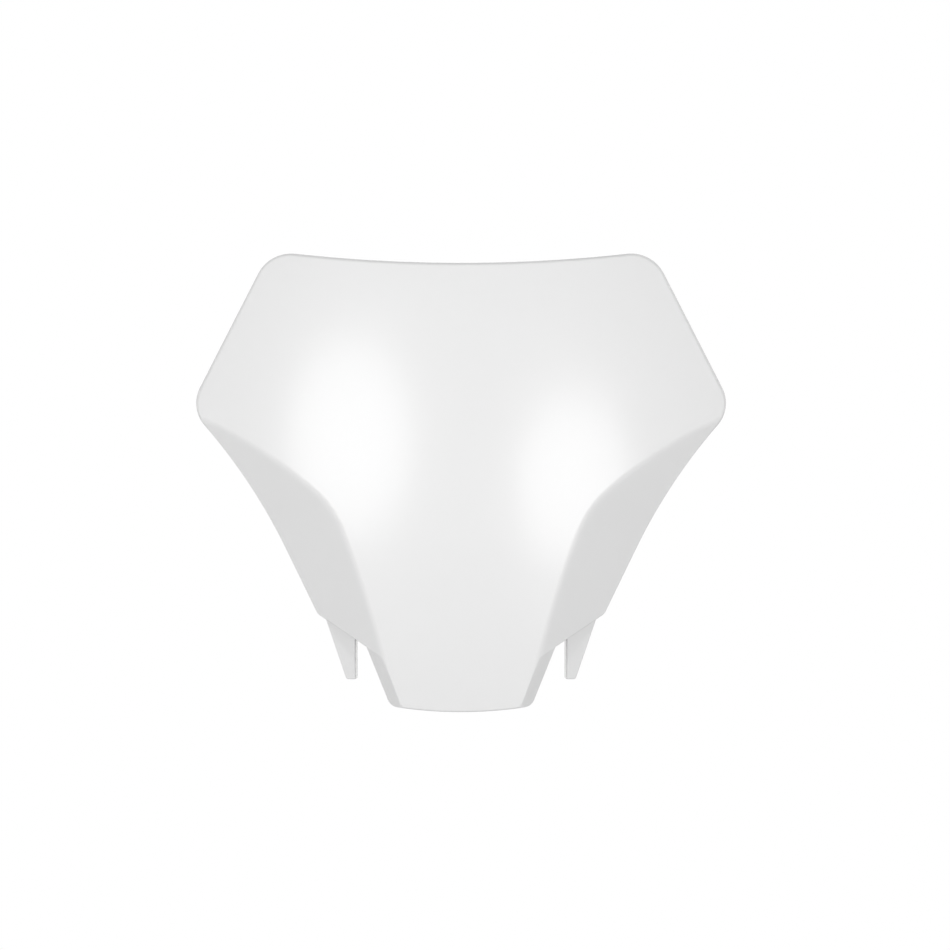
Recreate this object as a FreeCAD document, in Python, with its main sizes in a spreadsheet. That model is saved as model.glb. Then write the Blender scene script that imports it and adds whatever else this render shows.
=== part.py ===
import FreeCAD, Part
import os
import Sketcher
from math import radians, degrees, sin, cos, tan, asin, atan2, sqrt
from FreeCAD import Vector

# Moulded front number board for an off-road motorbike, seen as it stands on the bike.
# X runs to the right, Y to the rear, Z up. The board is laid out from the centre of its widest
# level (Z = 0) and its frontmost point (Y = 0), and is then placed with its screw hole at the origin.

# Driving dimensions, in millimetres and degrees: alias, value, what it is
SIZES = [
    ("half_width", 142.5, "centre to side corner"),
    ("side_corner_radius", 18, "round of the side corner"),
    ("upper_side_angle", 27.2, "upper side, from vertical"),
    ("top_corner_radius", 20, "round of the top corner"),
    ("top_mid_height", 75.1, "top edge at the centre, above the widest level"),
    ("top_edge_radius", 780, "hollow of the top edge"),
    ("waist_radius", 300, "hollow of the lower side"),
    ("lower_side_angle", 26, "lower side, from vertical"),
    ("foot_inset", 65.4, "side corner to the flank's lowest outer corner, sideways"),
    ("foot_drop", 113.4, "that corner below the widest level"),
    ("foot_radius", 5.4, "round of that corner"),
    ("foot_edge_angle", 33.7, "flank's bottom edge, from horizontal"),
    ("notch_inset", 26.4, "that corner to the notch where the tail starts, sideways"),
    ("notch_radius", 2, "round of the notch"),
    ("tail_side_angle", 21.9, "tail side, from vertical"),
    ("tail_corner_radius", 6.5, "round of the tail's corners"),
    ("tail_drop", 165.9, "tail end below the widest level"),
    ("tail_edge_radius", 233, "bow of the tail's bottom edge"),
    ("face_bow_radius", 270, "face, side to side"),
    ("face_rise_radius", 600, "face, top to bottom"),
    ("face_front_drop", 31.5, "frontmost level below the widest level"),
    ("flank_inset", 8.1, "flank's lowest outer corner to its setting-out point on the face, sideways"),
    ("flank_drop", 56.6, "that point below the widest level"),
    ("flank_sweep", 32.3, "flank's line, from vertical"),
    ("flank_slope", 50, "how far the flank folds back from the face plane"),
    ("flank_upper_turn", 4.9, "upper half of the flank, turned out"),
    ("flank_lower_turn", 9.2, "lower half of the flank, turned out"),
    ("flank_hollow_radius", 108, "hollow between the two halves"),
    ("crease_radius", 6, "round between face and flank"),
    ("bevel_inset", 7.3, "notch to the top of the tail's bevel, sideways"),
    ("bevel_fall", 2.5, "that point below the notch"),
    ("bevel_line_angle", 25, "bevel's line, from vertical"),
    ("bevel_slope", 62, "how far the bevel folds back"),
    ("wall", 2.3, "wall thickness"),
    ("rim_depth", 8, "return edge and ribs, square to the face"),
    ("edge_radius", 2, "rounded edge all round"),
    ("tab_level", 39, "screw tab's seat above the widest level"),
    ("tab_thickness", 4, "screw tab"),
    ("tab_half_width", 12, "screw tab, also the round of its end"),
    ("tab_reach", 38, "screw hole behind the frontmost point"),
    ("screw_hole", 6.5, "clearance hole for an M6 screw"),
    ("gusset_drop", 24, "tab's gussets, down the board"),
    ("rib_spacing", 17, "between the middles of the two upright ribs"),
    ("rib_thickness", 1.8, "ribs and gussets"),
    ("cross_rib_drop", 118, "cross rib below the widest level"),
    ("lug_inset", 4.5, "flank's lowest outer corner to the lug's outer side, at the flank's edge"),
    ("lug_width", 17, "lug, at the flank's edge"),
    ("lug_tip_width", 6, "lug, at its tip"),
    ("lug_reach", 32.1, "lug below the flank's edge"),
    ("lug_tip_radius", 1.6, "rounds of the lug's tip"),
    ("lug_root", 24.5, "lug above that level, behind the flank"),
    ("lug_setback", 2, "lug's front behind the flank's front"),
    ("lug_depth", 9, "lug, square to the flank"),
    ("lug_fade", 28, "how fast the lug's root runs out up the flank"),
    ("lug_fade_down", 46, "where that starts, down the flank from its setting-out point"),
    ("lug_wall", 2.2, "wall of the lug"),
    ("ridge_out", 49.3, "ridge's lower end, back along the flank's fold"),
    ("ridge_down", 74, "ridge's lower end, down the flank"),
    ("ridge_turn", 20.5, "ridge, from the flank's length"),
    ("ridge_fall", 25, "how far the lug's upper facet falls back"),
]

# How far the face's blank runs past the board, and how far each half of the outline runs past the centre line
MARGIN = 25
LAP = 10

# Places that follow from the sizes, as expressions, outwards from the centre or down from the widest level
FOOT_OUT = "(sizes.half_width - sizes.foot_inset)"
NOTCH_OUT = "(%s - sizes.notch_inset)" % FOOT_OUT
NOTCH_DOWN = "(sizes.foot_drop + sizes.notch_inset * tan(sizes.foot_edge_angle * 1 deg))"
FLANK_OUT = "(%s - sizes.flank_inset)" % FOOT_OUT
BEVEL_OUT = "(%s - sizes.bevel_inset)" % NOTCH_OUT
BEVEL_DOWN = "(%s + sizes.bevel_fall)" % NOTCH_DOWN
LUG_OUT = "(%s - sizes.lug_inset)" % FOOT_OUT
LUG_DOWN = "(sizes.foot_drop + sizes.lug_inset * tan(sizes.foot_edge_angle * 1 deg))"


def face_depth(out, down):
    """How far behind the frontmost point the face lies at a place, as an expression."""
    rise = "sizes.face_rise_radius - sqrt(sizes.face_rise_radius ^ 2 - (%s - sizes.face_front_drop) ^ 2)" % down
    return "sizes.face_bow_radius - sqrt((sizes.face_bow_radius - (%s)) ^ 2 - %s ^ 2)" % (rise, out)


def make_sheet(doc):
    """Put the driving dimensions into the spreadsheet, one row each."""
    sheet = doc.addObject("Spreadsheet::Sheet", "sizes")
    for row, (alias, value, note) in enumerate(SIZES, start=1):
        sheet.set("A%d" % row, alias)
        sheet.set("B%d" % row, str(value))
        sheet.set("C%d" % row, note)
        sheet.setAlias("B%d" % row, alias)
    doc.recompute()
    return sheet


# Sketch helpers

def tie(sketch, name, expression, *arguments):
    """Add a constraint whose value comes from the sheet."""
    index = sketch.addConstraint(Sketcher.Constraint(*arguments))
    sketch.renameConstraint(index, name)
    sketch.setExpression("Constraints." + name, expression)


def polar(centre, radius, angle):
    return (centre[0] + radius * cos(radians(angle)), centre[1] + radius * sin(radians(angle)))


def angle_of(point, centre):
    return degrees(atan2(point[1] - centre[1], point[0] - centre[0]))


def lower_meeting(base, rise, centre, reach):
    """On the line through base at angle rise, the lower of the two points at reach from centre."""
    step = (cos(radians(rise)), sin(radians(rise)))
    away = (base[0] - centre[0], base[1] - centre[1])
    along = away[0] * step[0] + away[1] * step[1]
    run = -along - sqrt(along ** 2 - away[0] ** 2 - away[1] ** 2 + reach ** 2)
    return polar(base, run, rise)


def corner_centre(corner, first, last, radius):
    """Centre of a round between two straight edges that leave a corner at angles first and last."""
    half = (last - first) / 2
    return polar(corner, radius / abs(sin(radians(half))), first + half)


def add_line(sketch, start, end):
    return sketch.addGeometry(Part.LineSegment(Vector(*start, 0), Vector(*end, 0)))


def add_arc(sketch, centre, radius, first, last):
    """Arc from angle first to angle last, in degrees, anticlockwise."""
    circle = Part.Circle(Vector(*centre, 0), Vector(0, 0, 1), radius)
    return sketch.addGeometry(Part.ArcOfCircle(circle, radians(first), radians(last)))


def add_corner_mark(sketch, place, edge_one, edge_two):
    """Construction point where two straight edges would meet without their round."""
    mark = sketch.addGeometry(Part.Point(Vector(*place, 0)), True)
    sketch.addConstraint(Sketcher.Constraint("PointOnObject", mark, 1, edge_one))
    sketch.addConstraint(Sketcher.Constraint("PointOnObject", mark, 1, edge_two))
    return mark


def chain(sketch, links):
    """Join links end to end with tangents; a link is (geometry, its first end, its last end)."""
    for link, following in zip(links, links[1:]):
        sketch.addConstraint(Sketcher.Constraint("Tangent", link[0], link[2], following[0], following[1]))


# Placements, as expressions

def front_view():
    """A sketch whose x is the board's X and whose y is the board's Z."""
    return "placement(vector(0; 0; 0); rotation(vector(1; 0; 0); 90))"


def side_view():
    """A sketch whose x is the board's Y and whose y is the board's Z."""
    return "placement(vector(0; 0; 0); rotation(vector(1; 1; 1); 120))"


def flank_frame():
    """Right flank: x runs up its length, y square out of it, z back along its fold."""
    return (
        "placement(vector(%s; %s; -sizes.flank_drop); rotation(vector(0; 1; 0); sizes.flank_sweep - 90)"
        " * rotation(vector(1; 0; 0); 180 + sizes.flank_slope))"
        % (FLANK_OUT, face_depth(FLANK_OUT, "sizes.flank_drop"))
    )


def lower_flank_frame(inset):
    """The same for the flank's lower half, set in square to it by inset."""
    return (
        flank_frame()
        + " * placement(vector(0; 0; 0); rotation(vector(0; 0; 1); -sizes.flank_lower_turn))"
        + " * placement(vector(0; -(%s); 0); rotation(vector(0; 0; 1); 0))" % inset
    )


def solid_block(doc, name, frame, low, size):
    """Box whose corner and three sides are given as expressions in a frame."""
    block = doc.addObject("Part::Box", name)
    block.setExpression("Length", size[0])
    block.setExpression("Width", size[1])
    block.setExpression("Height", size[2])
    block.setExpression("Placement", frame + " * placement(vector(%s; %s; %s); rotation(vector(0; 0; 1); 0))" % low)
    return block


def mirrored(doc, source):
    """Copy on the left of the board."""
    copy = doc.addObject("Part::Mirroring", source.Name + "_left")
    copy.Source = source
    copy.Normal = Vector(1, 0, 0)
    return copy


def cut(doc, name, base, tool):
    result = doc.addObject("Part::Cut", name)
    result.Base = base
    result.Tool = tool
    return result


def common(doc, name, base, tool):
    result = doc.addObject("Part::Common", name)
    result.Base = base
    result.Tool = tool
    return result


def fuse(doc, name, shapes):
    result = doc.addObject("Part::MultiFuse", name)
    result.Shapes = shapes
    result.Refine = True
    return result


def both_sides(doc, source):
    return fuse(doc, source.Name + "_pair", [source, mirrored(doc, source)])


def extrude(doc, name, profile, direction, forward, backward):
    solid = doc.addObject("Part::Extrusion", name)
    solid.Base = profile
    solid.DirMode = "Custom"
    solid.Solid = True
    solid.setExpression("Dir", direction)
    solid.setExpression("LengthFwd", forward)
    solid.setExpression("LengthRev", backward)
    return solid


def grown(doc, name, profile, amount):
    """Closed profile moved out by amount, or in where amount is negative."""
    offset = doc.addObject("Part::Offset2D", name)
    offset.Source = profile
    offset.Join = "Intersection"
    offset.setExpression("Value", amount)
    return offset


# The board's outline

def half_outline(doc, size):
    """Right half of the front outline, closed a little past the centre line."""
    upper = size.upper_side_angle
    lower = size.lower_side_angle
    foot = size.foot_edge_angle
    tail = size.tail_side_angle
    sketch = doc.addObject("Sketcher::SketchObject", "half_outline")

    # Centres of the rounds, then the angles at which they meet
    side = (size.half_width - size.side_corner_radius, 0)
    foot_mark = (size.half_width - size.foot_inset, -size.foot_drop)
    notch_mark = (foot_mark[0] - size.notch_inset, foot_mark[1] - size.notch_inset * tan(radians(foot)))
    top_centre = (0, size.top_mid_height + size.top_edge_radius)
    tail_centre = (0, size.tail_edge_radius - size.tail_drop)
    top = lower_meeting(polar(side, size.side_corner_radius - size.top_corner_radius, upper), 90 + upper,
                        top_centre, size.top_edge_radius + size.top_corner_radius)
    waist = lower_meeting(polar(foot_mark, size.waist_radius, -lower), 90 - lower,
                          side, size.side_corner_radius + size.waist_radius)
    foot_round = corner_centre(foot_mark, 90 - lower, foot + 180, size.foot_radius)
    notch_round = corner_centre(notch_mark, foot, -90 - tail, size.notch_radius)
    tail_round = lower_meeting(polar(notch_mark, size.tail_corner_radius, 180 - tail), 90 - tail,
                               tail_centre, size.tail_edge_radius - size.tail_corner_radius)
    turn = angle_of(waist, side)
    top_turn = angle_of(top, top_centre)
    tail_turn = angle_of(tail_round, tail_centre)
    top_lap = -90 - degrees(asin(LAP / size.top_edge_radius))
    tail_lap = -90 - degrees(asin(LAP / size.tail_edge_radius))

    top_edge = add_arc(sketch, top_centre, size.top_edge_radius, top_lap, top_turn)
    top_corner = add_arc(sketch, top, size.top_corner_radius, upper, 180 + top_turn)
    upper_side = add_line(sketch, polar(top, size.top_corner_radius, upper),
                          polar(side, size.side_corner_radius, upper))
    side_corner = add_arc(sketch, side, size.side_corner_radius, turn, upper)
    waist_edge = add_arc(sketch, waist, size.waist_radius, 180 + turn, 180 - lower)
    lower_side = add_line(sketch, polar(waist, size.waist_radius, 180 - lower),
                          polar(foot_round, size.foot_radius, -lower))
    foot_corner = add_arc(sketch, foot_round, size.foot_radius, foot - 90, -lower)
    foot_edge = add_line(sketch, polar(foot_round, size.foot_radius, foot - 90),
                         polar(notch_round, size.notch_radius, foot + 90))
    notch = add_arc(sketch, notch_round, size.notch_radius, foot + 90, 180 - tail)
    tail_side = add_line(sketch, polar(notch_round, size.notch_radius, 180 - tail),
                         polar(tail_round, size.tail_corner_radius, -tail))
    tail_corner = add_arc(sketch, tail_round, size.tail_corner_radius, tail_turn, -tail)
    tail_edge = add_arc(sketch, tail_centre, size.tail_edge_radius, tail_lap, tail_turn)
    lap = add_line(sketch, polar(tail_centre, size.tail_edge_radius, tail_lap),
                   polar(top_centre, size.top_edge_radius, top_lap))

    chain(sketch, [(top_edge, 1, 2), (top_corner, 2, 1), (upper_side, 1, 2), (side_corner, 2, 1),
                   (waist_edge, 1, 2), (lower_side, 1, 2), (foot_corner, 2, 1), (foot_edge, 1, 2),
                   (notch, 1, 2), (tail_side, 1, 2), (tail_corner, 2, 1), (tail_edge, 2, 1)])
    sketch.addConstraint(Sketcher.Constraint("Coincident", tail_edge, 1, lap, 1))
    sketch.addConstraint(Sketcher.Constraint("Coincident", lap, 2, top_edge, 1))
    sketch.addConstraint(Sketcher.Constraint("Vertical", lap))
    sketch.addConstraint(Sketcher.Constraint("DistanceX", lap, 1, -1, 1, LAP))
    for edge, name in ((top_edge, "top_edge_radius"), (top_corner, "top_corner_radius"),
                       (side_corner, "side_corner_radius"), (waist_edge, "waist_radius"),
                       (foot_corner, "foot_radius"), (notch, "notch_radius"),
                       (tail_corner, "tail_corner_radius"), (tail_edge, "tail_edge_radius")):
        tie(sketch, name, "sizes." + name, "Radius", edge, getattr(size, name))
    tie(sketch, "upper_side", "(sizes.upper_side_angle - 90) * 1 deg", "Angle", upper_side, radians(upper - 90))
    tie(sketch, "lower_side", "(-sizes.lower_side_angle - 90) * 1 deg", "Angle", lower_side, radians(-lower - 90))
    tie(sketch, "foot_edge", "(sizes.foot_edge_angle - 180) * 1 deg", "Angle", foot_edge, radians(foot - 180))
    tie(sketch, "tail_side", "(-sizes.tail_side_angle - 90) * 1 deg", "Angle", tail_side, radians(-tail - 90))
    sketch.addConstraint(Sketcher.Constraint("PointOnObject", top_edge, 3, -2))
    sketch.addConstraint(Sketcher.Constraint("PointOnObject", tail_edge, 3, -2))
    sketch.addConstraint(Sketcher.Constraint("PointOnObject", side_corner, 3, -1))
    tie(sketch, "top_centre", "sizes.top_mid_height + sizes.top_edge_radius",
        "DistanceY", -1, 1, top_edge, 3, top_centre[1])
    tie(sketch, "tail_centre", "sizes.tail_edge_radius - sizes.tail_drop",
        "DistanceY", -1, 1, tail_edge, 3, tail_centre[1])
    tie(sketch, "side_centre", "sizes.half_width - sizes.side_corner_radius",
        "DistanceX", -1, 1, side_corner, 3, side[0])
    mark = add_corner_mark(sketch, foot_mark, lower_side, foot_edge)
    tie(sketch, "foot_out", FOOT_OUT, "DistanceX", -1, 1, mark, 1, foot_mark[0])
    tie(sketch, "foot_drop", "sizes.foot_drop", "DistanceY", mark, 1, -1, 1, size.foot_drop)
    mark = add_corner_mark(sketch, notch_mark, foot_edge, tail_side)
    tie(sketch, "notch_out", NOTCH_OUT, "DistanceX", -1, 1, mark, 1, notch_mark[0])
    sketch.setExpression("Placement", front_view())
    return sketch


def outline_block(doc, name, half, inset):
    """The whole outline, set in by inset and carried straight back."""
    profile = grown(doc, name + "_profile", half, "-(%s)" % inset) if inset else half
    right = extrude(doc, name + "_right", profile, "vector(0; 1; 0)", "sizes.half_width", "%d" % MARGIN)
    return fuse(doc, name, [right, mirrored(doc, right)])


# The face, its flanks and the tail's bevels

def face_section(doc, size, name, inset):
    """Section through the middle of the face, back to the axis that the face is turned about."""
    sketch = doc.addObject("Sketcher::SketchObject", name)
    radius = size.face_rise_radius
    centre = (radius, -size.face_front_drop)
    high = size.top_mid_height + MARGIN
    low = -size.tail_drop - MARGIN
    axis = size.face_bow_radius
    rise = degrees(asin((high - centre[1]) / radius))
    fall = degrees(asin((centre[1] - low) / radius))
    front = add_arc(sketch, centre, radius, 180 - rise, 180 + fall)
    top = add_line(sketch, polar(centre, radius, 180 - rise), (axis, high))
    middle = add_line(sketch, (axis, high), (axis, low))
    bottom = add_line(sketch, (axis, low), polar(centre, radius, 180 + fall))
    for one, one_end, two, two_end in ((front, 1, top, 1), (top, 2, middle, 1),
                                       (middle, 2, bottom, 1), (bottom, 2, front, 2)):
        sketch.addConstraint(Sketcher.Constraint("Coincident", one, one_end, two, two_end))
    for line in (top, bottom):
        sketch.addConstraint(Sketcher.Constraint("Horizontal", line))
    sketch.addConstraint(Sketcher.Constraint("Vertical", middle))
    tie(sketch, "rise_radius", "sizes.face_rise_radius - (%s)" % inset, "Radius", front, radius)
    tie(sketch, "rise_centre", "sizes.face_rise_radius", "DistanceX", -1, 1, front, 3, radius)
    tie(sketch, "front_drop", "sizes.face_front_drop", "DistanceY", front, 3, -1, 1, size.face_front_drop)
    tie(sketch, "axis", "sizes.face_bow_radius", "DistanceX", -1, 1, middle, 1, axis)
    tie(sketch, "top", "sizes.top_mid_height + %d" % MARGIN, "DistanceY", -1, 1, middle, 1, high)
    tie(sketch, "bottom", "sizes.tail_drop + %d" % MARGIN, "DistanceY", middle, 2, -1, 1, -low)
    sketch.setExpression("Placement", side_view())
    return sketch


def face_block(doc, size, name, inset):
    """The bowed face with solid behind it, wider than the board on each side."""
    block = doc.addObject("Part::Revolution", name + "_face")
    block.Source = face_section(doc, size, name + "_section", inset)
    block.Axis = Vector(0, 0, 1)
    block.Solid = True
    block.Symmetric = True
    block.setExpression("Base.y", "sizes.face_bow_radius")
    block.setExpression("Angle", "2 * asin(sizes.half_width / sizes.face_bow_radius) + %d deg" % MARGIN)
    return block


def flank_profile(doc, size):
    """Section across the right flank: two straight halves with a hollow between them."""
    sketch = doc.addObject("Sketcher::SketchObject", "flank_profile")
    upper = size.flank_upper_turn
    lower = size.flank_lower_turn
    reach = 2 * size.half_width
    hollow = size.flank_hollow_radius
    run = hollow * tan(radians((upper + lower) / 2))
    centre = (run * cos(radians(upper)) - hollow * sin(radians(upper)),
              run * sin(radians(upper)) + hollow * cos(radians(upper)))
    upper_end = (reach, reach * tan(radians(upper)))
    lower_end = (-reach, reach * tan(radians(lower)))
    bend = add_arc(sketch, centre, hollow, -90 - lower, upper - 90)
    upper_line = add_line(sketch, polar(centre, hollow, upper - 90), upper_end)
    right = add_line(sketch, upper_end, (reach, reach))
    top = add_line(sketch, (reach, reach), (-reach, reach))
    left = add_line(sketch, (-reach, reach), lower_end)
    lower_line = add_line(sketch, lower_end, polar(centre, hollow, -90 - lower))
    chain(sketch, [(lower_line, 1, 2), (bend, 1, 2), (upper_line, 1, 2)])
    for one, two in ((upper_line, right), (right, top), (top, left), (left, lower_line)):
        sketch.addConstraint(Sketcher.Constraint("Coincident", one, 2, two, 1))
    for line in (right, left):
        sketch.addConstraint(Sketcher.Constraint("Vertical", line))
    sketch.addConstraint(Sketcher.Constraint("Horizontal", top))
    mark = add_corner_mark(sketch, (0, 0), upper_line, lower_line)
    sketch.addConstraint(Sketcher.Constraint("Coincident", mark, 1, -1, 1))
    tie(sketch, "hollow", "sizes.flank_hollow_radius", "Radius", bend, hollow)
    tie(sketch, "upper_turn", "sizes.flank_upper_turn * 1 deg", "Angle", upper_line, radians(upper))
    tie(sketch, "lower_turn", "-sizes.flank_lower_turn * 1 deg", "Angle", lower_line, radians(-lower))
    tie(sketch, "reach_right", "2 * sizes.half_width", "DistanceX", -1, 1, top, 1, reach)
    tie(sketch, "reach_left", "2 * sizes.half_width", "DistanceX", top, 2, -1, 1, reach)
    tie(sketch, "reach_out", "2 * sizes.half_width", "DistanceY", -1, 1, top, 1, reach)
    sketch.setExpression("Placement", flank_frame())
    return sketch


def flank_cutter(doc, name, profile, inset):
    """What both flanks take off the face block."""
    cutting = grown(doc, name + "_profile", profile, inset) if inset else profile
    direction = (
        "vector(cos(sizes.flank_sweep * 1 deg) * cos(sizes.flank_slope * 1 deg);"
        " sin(sizes.flank_slope * 1 deg);"
        " -sin(sizes.flank_sweep * 1 deg) * cos(sizes.flank_slope * 1 deg))"
    )
    right = extrude(doc, name + "_right", cutting, direction, "2 * sizes.half_width", "2 * sizes.half_width")
    return both_sides(doc, right)


def below_foot_edge(doc, name, inset):
    """Everything below the line of the right flank's bottom edge."""
    frame = (
        "placement(vector(%s; 0; -sizes.foot_drop); rotation(vector(0; 1; 0); -sizes.foot_edge_angle))"
        % FOOT_OUT
    )
    low = ("-2 * sizes.half_width", "-sizes.half_width", "%s - sizes.half_width" % (inset or "0"))
    return solid_block(doc, name, frame, low, ("4 * sizes.half_width", "2 * sizes.half_width", "sizes.half_width"))


def bevel_cutter(doc, name, inset, step_inset):
    """What the steeper bevels take off both sides of the tail, up to the line of the flanks' bottom edges."""
    frame = (
        "placement(vector(%s; %s; -%s); rotation(vector(0; 1; 0); sizes.bevel_line_angle)"
        " * rotation(vector(0; 0; 1); sizes.bevel_slope - 90))"
        % (BEVEL_OUT, face_depth(BEVEL_OUT, BEVEL_DOWN), BEVEL_DOWN)
    )
    low = ("-(%s)" % (inset or "0"), "-sizes.half_width", "-sizes.half_width")
    size = ("sizes.half_width", "2 * sizes.half_width", "2 * sizes.half_width")
    side = solid_block(doc, name + "_side", frame, low, size)
    right = common(doc, name + "_right", side, below_foot_edge(doc, name + "_below", step_inset))
    return both_sides(doc, right)


# Edges

def square_to_face(face, point):
    """Direction square to a face at a point on it."""
    u, v = face.Surface.parameter(point)
    return face.normalAt(u, v)


def middle_of(edge):
    return edge.valueAt((edge.FirstParameter + edge.LastParameter) / 2)


def edges_where(shape, test):
    """Numbers of the edges whose two faces pass a test, which gets both directions and the middle point."""
    found = []
    for number, edge in enumerate(shape.Edges, start=1):
        faces = shape.ancestorsOfType(edge, Part.Face)
        if len(faces) != 2:
            continue
        point = middle_of(edge)
        if test(square_to_face(faces[0], point), square_to_face(faces[1], point), point):
            found.append(number)
    return found


def rounded(doc, name, base, radius, test):
    """Base with a round on the edges that pass the test."""
    doc.recompute()
    result = doc.addObject("Part::Fillet", name)
    result.Base = base
    result.Edges = [(number, radius, radius) for number in edges_where(base.Shape, test)]
    return result


def is_crease(one, two, point):
    """Between two surfaces that both look forward."""
    return one.y < -0.3 and two.y < -0.3 and one.getAngle(two) > radians(5)


def is_front_edge(one, two, point):
    """Between a wall that runs straight back and what looks forward."""
    return (abs(one.y) < 1e-6 and two.y < -0.3) or (abs(two.y) < 1e-6 and one.y < -0.3)


# The skin: the board's front surface with solid behind it, set in by an inset

def skin(doc, size, name, flank, inset, crease_radius):
    """Bowed face less both flanks, with a round on the creases where a radius is given."""
    face = face_block(doc, size, name, inset or "0")
    folded = cut(doc, name + "_folded", face, flank_cutter(doc, name + "_flank", flank, inset))
    if crease_radius > 0:
        folded = rounded(doc, name + "_creased", folded, crease_radius, is_crease)
    return folded


def board_shell(doc, size, half, flank):
    """The moulding's wall: face, flanks, bevels and the return edge, open at the back."""
    front = skin(doc, size, "front", flank, "", size.crease_radius)
    trimmed = common(doc, "front_trimmed", front, outline_block(doc, "front_outline", half, ""))
    edged = rounded(doc, "front_edged", trimmed, size.edge_radius, is_front_edge)
    outside = cut(doc, "outside", edged, bevel_cutter(doc, "front_bevel", "", ""))
    inner = skin(doc, size, "inner", flank, "sizes.wall", size.crease_radius - size.wall)
    inner_bevelled = cut(doc, "inner_bevelled", inner, bevel_cutter(doc, "inner_bevel", "sizes.wall", "sizes.wall"))
    inside = common(doc, "inside", inner_bevelled, outline_block(doc, "inner_outline", half, "sizes.wall"))
    rear = skin(doc, size, "rear", flank, "sizes.rim_depth", 0)
    behind = cut(doc, "behind", rear, bevel_cutter(doc, "rear_bevel", "sizes.rim_depth", ""))
    hollowed = cut(doc, "hollowed", outside, inside)
    shell = cut(doc, "shell", hollowed, behind)
    return shell, behind


# The two lugs

def lug_profile(doc, size):
    """Front view of the right lug, from its root behind the flank to its tip."""
    sketch = doc.addObject("Sketcher::SketchObject", "lug_profile")
    radius = size.lug_tip_radius
    foot = (size.half_width - size.foot_inset, -size.foot_drop)
    outside = (foot[0] - size.lug_inset, foot[1] - size.lug_inset * tan(radians(size.foot_edge_angle)))
    lean = degrees(atan2(size.lug_width - size.lug_tip_width, size.lug_reach))
    inside = outside[0] - size.lug_width
    root = outside[1] + size.lug_root
    tip = outside[1] - size.lug_reach
    outer_root = (outside[0] + size.lug_root * tan(radians(lean)), root)
    outer_tip = (inside + size.lug_tip_width, tip)
    inner_round = (inside + radius, tip + radius)
    outer_round = corner_centre(outer_tip, 90 - lean, 180, radius)
    inner = add_line(sketch, (inside, root), (inside, tip + radius))
    inner_tip = add_arc(sketch, inner_round, radius, 180, 270)
    end = add_line(sketch, (inner_round[0], tip), (outer_round[0], tip))
    outer_tip_round = add_arc(sketch, outer_round, radius, -90, -lean)
    outer = add_line(sketch, polar(outer_round, radius, -lean), outer_root)
    top = add_line(sketch, outer_root, (inside, root))
    chain(sketch, [(inner, 1, 2), (inner_tip, 1, 2), (end, 1, 2), (outer_tip_round, 1, 2), (outer, 1, 2)])
    sketch.addConstraint(Sketcher.Constraint("Coincident", outer, 2, top, 1))
    sketch.addConstraint(Sketcher.Constraint("Coincident", top, 2, inner, 1))
    sketch.addConstraint(Sketcher.Constraint("Vertical", inner))
    sketch.addConstraint(Sketcher.Constraint("Horizontal", top))
    sketch.addConstraint(Sketcher.Constraint("Horizontal", end))
    sketch.addConstraint(Sketcher.Constraint("Equal", inner_tip, outer_tip_round))
    tie(sketch, "tip_radius", "sizes.lug_tip_radius", "Radius", inner_tip, radius)
    tie(sketch, "inner_side", "%s - sizes.lug_width" % LUG_OUT, "DistanceX", -1, 1, inner, 1, inside)
    tie(sketch, "root", "%s - sizes.lug_root" % LUG_DOWN, "DistanceY", inner, 1, -1, 1, -root)
    tie(sketch, "tip", "%s + sizes.lug_reach" % LUG_DOWN, "DistanceY", end, 1, -1, 1, -tip)
    tip_mark = add_corner_mark(sketch, outer_tip, outer, end)
    tie(sketch, "tip_width", "%s - sizes.lug_width + sizes.lug_tip_width" % LUG_OUT,
        "DistanceX", -1, 1, tip_mark, 1, outer_tip[0])
    mark = sketch.addGeometry(Part.Point(Vector(*outside, 0)), True)
    sketch.addConstraint(Sketcher.Constraint("PointOnObject", mark, 1, outer))
    tie(sketch, "outer_side", LUG_OUT, "DistanceX", -1, 1, mark, 1, outside[0])
    tie(sketch, "edge_level", LUG_DOWN, "DistanceY", mark, 1, -1, 1, -outside[1])
    sketch.setExpression("Placement", front_view())
    return sketch


def lug_front(doc, name, inset):
    """What is taken off the lug's front: the facet along the flank, and the one that falls back above the ridge."""
    setback = "sizes.lug_setback + %s" % (inset or "0")
    frame = lower_flank_frame(setback)
    reach = ("2 * sizes.half_width", "sizes.half_width", "2 * sizes.half_width")
    lower = solid_block(doc, name + "_lower", frame, ("-sizes.half_width", "0", "-sizes.half_width"), reach)
    ridge = (
        frame + " * placement(vector(-sizes.ridge_down; 0; sizes.ridge_out); rotation(vector(0; 1; 0); %s))"
        % "sizes.ridge_turn"
        + " * placement(vector(0; 0; 0); rotation(vector(1; 0; 0); sizes.ridge_fall))"
    )
    upper = solid_block(doc, name + "_upper", ridge, ("-sizes.half_width", "0", "-sizes.half_width"),
                        ("2 * sizes.half_width", "sizes.half_width", "sizes.half_width"))
    falling = common(doc, name + "_falling", upper, below_foot_edge(doc, name + "_below", inset))
    return fuse(doc, name, [lower, falling])


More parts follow.
